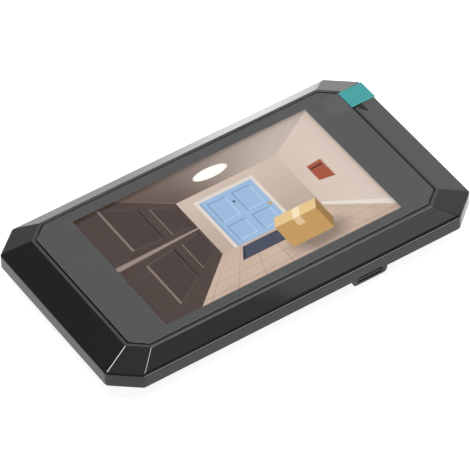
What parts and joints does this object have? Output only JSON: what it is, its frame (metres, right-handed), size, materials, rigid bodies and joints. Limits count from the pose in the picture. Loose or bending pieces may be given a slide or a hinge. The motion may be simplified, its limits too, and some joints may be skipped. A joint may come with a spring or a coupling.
{
  "type": "peephole door camera monitor",
  "caption": "Flat indoor monitor of a peephole door camera: faceted black case with cut corners, cover glass, lit display, card slot, edge keys, charging port and slotted rear cover.",
  "frame": {"origin": "middle of the case on the flat rear face", "axes": "+X to the right of the screen, +Y to its top edge, +Z out of the screen"},
  "size_m": [0.1676, 0.0928, 0.0195],
  "materials": {
    "case_front": "glossy black",
    "case_back": "fine matt grain",
    "glass_dark": "polished, dark printed back",
    "tape": "foam tape",
    "film": "clear shipping film",
    "tab": "smooth teal film",
    "panel": "lit display",
    "guide": "clear moulded",
    "steel": "pressed sheet",
    "flex": "amber ribbon",
    "socket": "moulded",
    "board": "solder mask",
    "chip": "moulded",
    "card": "moulded",
    "pouch": "foil pouch",
    "lead": "insulated wire",
    "cone": "pressed film",
    "gold": "plated",
    "key": "satin black",
    "plunger": "moulded"
  },
  "bodies": {
    "housing": {"front_bezel": "case_front", "rear_cover": "case_back", "cover_glass": "glass_dark", "glass_tape": "tape", "protective_film": "film", "pull_tab": "tab", "lcd_panel": "panel", "light_guide": "guide", "lcd_frame": "steel", "lcd_flex": "flex", "panel_socket": "socket", "main_board": "board", "shield_can": "steel", "processor": "chip", "ribbon_socket": "socket", "card_socket": "steel", "usb_shell": "steel", "usb_tongue": "chip", "battery_pack": "pouch", "battery_tape": "tape", "battery_plug": "socket", "battery_leads": "lead", "speaker_frame": "chip", "speaker_cone": "cone", "speaker_gasket": "tape", "speaker_contacts": "gold", "key_switches": "chip", "case_screws": "steel", "board_screws": "steel"},
    "power_key": {"power_key": "key", "power_plunger": "plunger"},
    "up_key": {"up_key": "key", "up_plunger": "plunger"},
    "down_key": {"down_key": "key", "down_plunger": "plunger"},
    "memory_card": {"memory_card": "card"}
  },
  "joints": [
    {"name": "power_key_press", "type": "slide", "parent": "housing", "child": "power_key", "axis": [0, -1, 0], "range_m": [0, 0.0004], "stiffness_N_per_m": 600},
    {"name": "up_key_press", "type": "slide", "parent": "housing", "child": "up_key", "axis": [0, -1, 0], "range_m": [0, 0.0004], "stiffness_N_per_m": 600},
    {"name": "down_key_press", "type": "slide", "parent": "housing", "child": "down_key", "axis": [0, -1, 0], "range_m": [0, 0.0004], "stiffness_N_per_m": 600},
    {"name": "card_slide", "type": "slide", "parent": "housing", "child": "memory_card", "axis": [0, -1, 0], "range_m": [-0.0008, 0.0135]}
  ]
}
